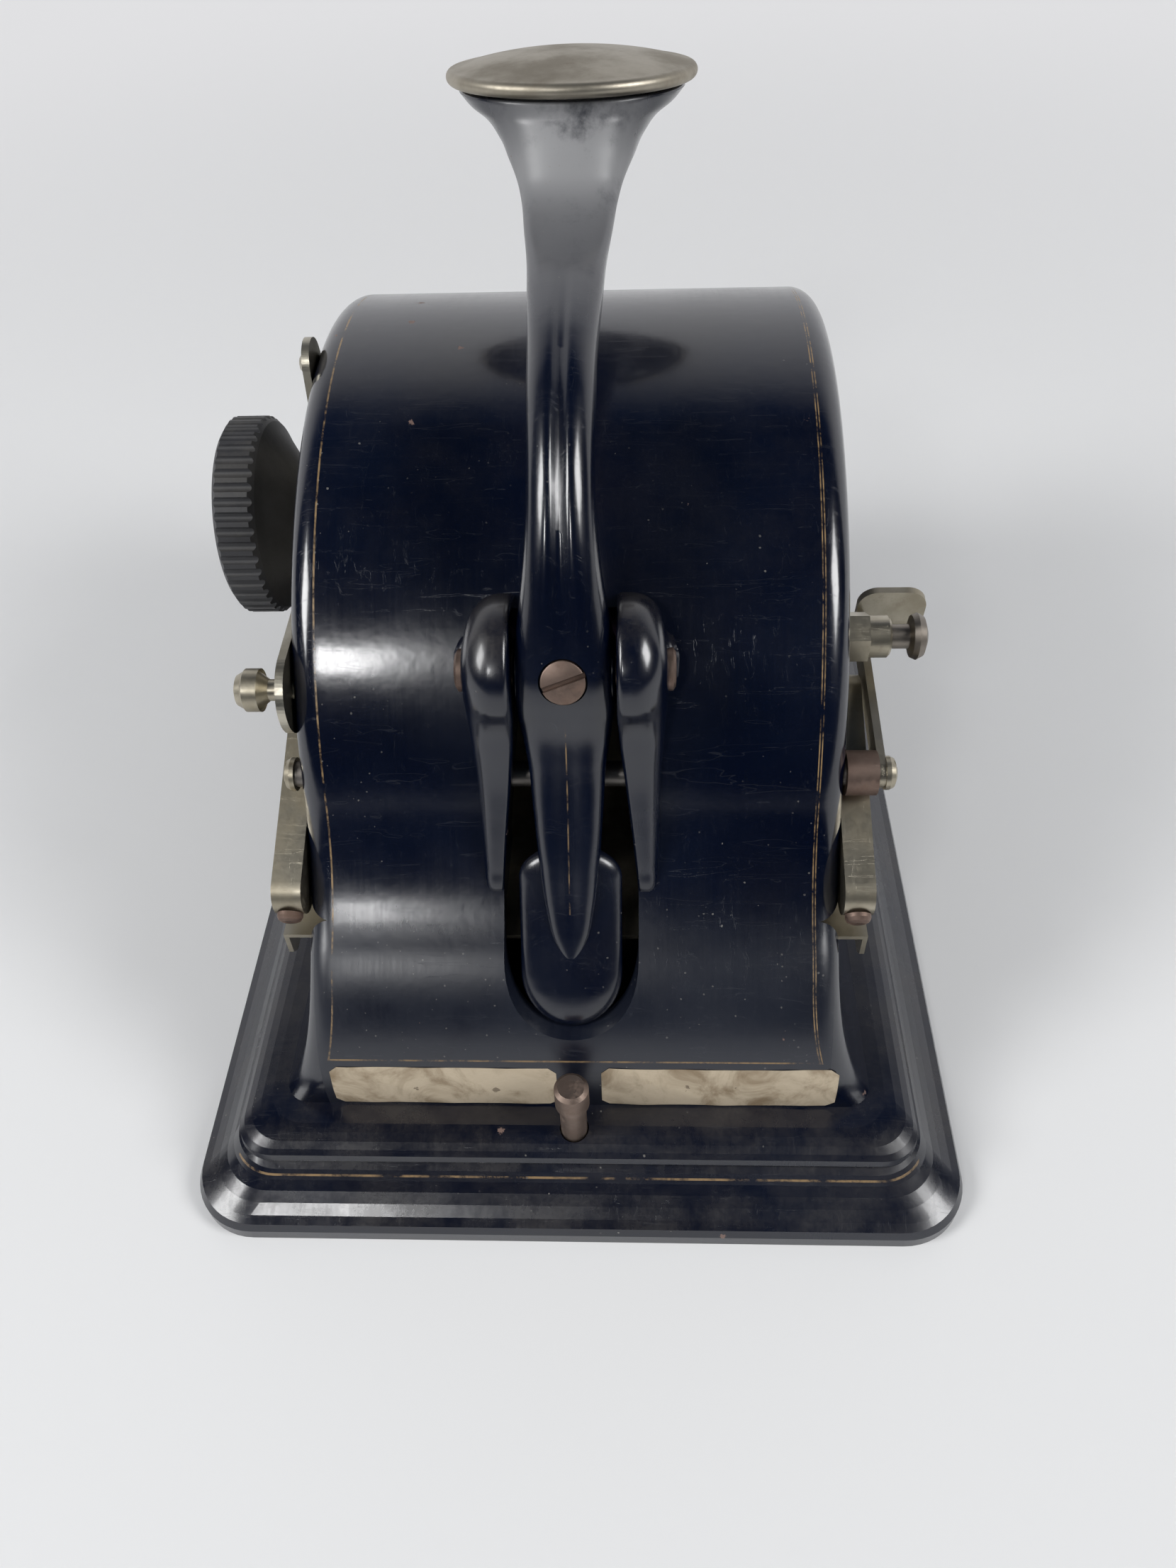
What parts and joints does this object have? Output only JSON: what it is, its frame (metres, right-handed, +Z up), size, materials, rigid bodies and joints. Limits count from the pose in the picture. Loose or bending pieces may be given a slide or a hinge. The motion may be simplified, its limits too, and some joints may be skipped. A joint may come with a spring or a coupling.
{
  "type": "check writer",
  "caption": "Cast desk check writer: a long hand lever with a palm button over an ogee hood, an index knob at the left, a paper throat and a stepped base.",
  "frame": {"origin": "centre of the base's footprint, on the surface it stands on", "axes": "+X to the object's right, +Y from the front edge to the back, +Z up"},
  "size_m": [0.165, 0.25, 0.178],
  "materials": {
    "black_enamel": "glossy black baked enamel, a little worn",
    "button_nickel": "dull worn nickel plate",
    "nickel": "tarnished nickel plate",
    "plate_nickel": "tarnished nickel plate",
    "aged_screw": "browned steel",
    "hard_rubber": "matte hard rubber",
    "steel": "plain steel",
    "type_metal": "cut steel type",
    "iron": "bare cast iron",
    "pad_rubber": "rubber pad",
    "ink_felt": "inked felt"
  },
  "bodies": {
    "base": {"base_casting": "black_enamel", "hood": "black_enamel", "dial_plate": "plate_nickel", "dial_plate_pin": "plate_nickel", "roller_journal": "steel", "roller_bushing": "nickel", "guide_bar_left": "nickel", "guide_bar_right": "nickel", "guide_screw_left": "aged_screw", "guide_screw_right": "aged_screw", "paper_table": "nickel", "mechanism_frame": "steel", "guide_post_left": "steel", "guide_post_right": "steel", "hood_screw_front_left": "steel", "hood_screw_front_right": "steel", "hood_screw_back_left": "steel", "hood_screw_back_right": "steel", "frame_screw_front_left": "steel", "frame_screw_front_right": "steel", "frame_screw_back_left": "steel", "frame_screw_back_right": "steel", "detent_spring": "steel", "detent_screw": "steel", "release_bracket": "steel"},
    "hand_lever": {"hand_lever": "black_enamel", "palm_button": "button_nickel", "lever_pivot": "aged_screw", "boss_screw": "aged_screw", "link_pin": "steel"},
    "draw_link": {"draw_link": "steel"},
    "lift_crank": {"crank_arm_left": "steel", "crank_arm_right": "steel", "crank_pin": "steel", "crank_shaft": "steel", "lift_cam_left": "steel", "lift_cam_right": "steel", "return_spring": "steel"},
    "platen": {"platen_block": "iron", "platen_pad": "pad_rubber"},
    "type_wheel": {"type_wheel": "type_metal", "wheel_shaft": "steel", "index_knob": "hard_rubber", "detent_star": "steel"},
    "ink_roller": {"roller_core": "steel", "ink_roller": "ink_felt"},
    "roller_spindle": {"roller_spindle": "aged_screw"},
    "paper_clamp": {"clamp_shaft": "steel", "clamp_spacer": "aged_screw", "clamp_finger_left": "steel", "clamp_finger_right": "steel", "thumb_lever": "nickel", "clamp_screw_left": "nickel", "clamp_screw_right": "aged_screw"},
    "thumb_screw": {"thumb_screw": "nickel"},
    "release_pin": {"release_pin": "nickel", "release_spring": "steel"},
    "bottom_plate": {"bottom_plate": "steel"}
  },
  "joints": [
    {"name": "lever_press", "type": "hinge", "parent": "base", "child": "hand_lever", "pos_m": [0, -0.06, 0.1026], "axis": [-1, 0, 0], "range_deg": [0, 13], "stiffness_Nm_per_rad": 1.6, "springref_deg": -20.05},
    {"name": "draw_link_tilt", "type": "hinge", "parent": "hand_lever", "child": "draw_link", "pos_m": [0, -0.082, 0.0436], "axis": [-1, 0, 0], "range_deg": [-9.1, 0]},
    {"name": "crank_turn", "type": "hinge", "parent": "base", "child": "lift_crank", "pos_m": [0, 0.0005, 0.018], "axis": [1, 0, 0], "range_deg": [0, 47.16]},
    {"name": "platen_lift", "type": "slide", "parent": "base", "child": "platen", "axis": [0, 0, 1], "range_m": [0, 0.006]},
    {"name": "wheel_turn", "type": "hinge", "parent": "base", "child": "type_wheel", "pos_m": [0, 0.009, 0.091], "axis": [1, 0, 0], "continuous": true},
    {"name": "roller_turn", "type": "hinge", "parent": "base", "child": "ink_roller", "pos_m": [0, -0.037, 0.091], "axis": [1, 0, 0], "continuous": true},
    {"name": "spindle_pull", "type": "slide", "parent": "base", "child": "roller_spindle", "axis": [1, 0, 0], "range_m": [0, 0.006], "stiffness_N_per_m": 600, "springref_m": -0.004},
    {"name": "clamp_press", "type": "hinge", "parent": "base", "child": "paper_clamp", "pos_m": [0, -0.0618, 0.0767], "axis": [-1, 0, 0], "range_deg": [0, 18], "stiffness_Nm_per_rad": 0.12, "springref_deg": -20.05},
    {"name": "thumb_screw_turn", "type": "hinge", "parent": "base", "child": "thumb_screw", "pos_m": [-0.06, -0.054, 0.0925], "axis": [1, 0, 0], "continuous": true},
    {"name": "release_press", "type": "slide", "parent": "base", "child": "release_pin", "axis": [0, 0, -1], "range_m": [0, 0.0035], "stiffness_N_per_m": 400, "springref_m": -0.003, "deforming": ["release_spring"]},
    {"name": "bottom_open", "type": "hinge", "parent": "base", "child": "bottom_plate", "pos_m": [0, 0.118, 0.002], "axis": [1, 0, 0], "range_deg": [0, 40]}
  ],
  "couplings": [
    {"joint": "draw_link_tilt", "follows": "lever_press", "ratio": -0.7},
    {"joint": "crank_turn", "follows": "lever_press", "ratio": 3.6274},
    {"joint": "platen_lift", "follows": "lever_press", "m_per_rad": 0.026444},
    {"joint": "roller_turn", "follows": "wheel_turn", "ratio": -3.3019}
  ]
}
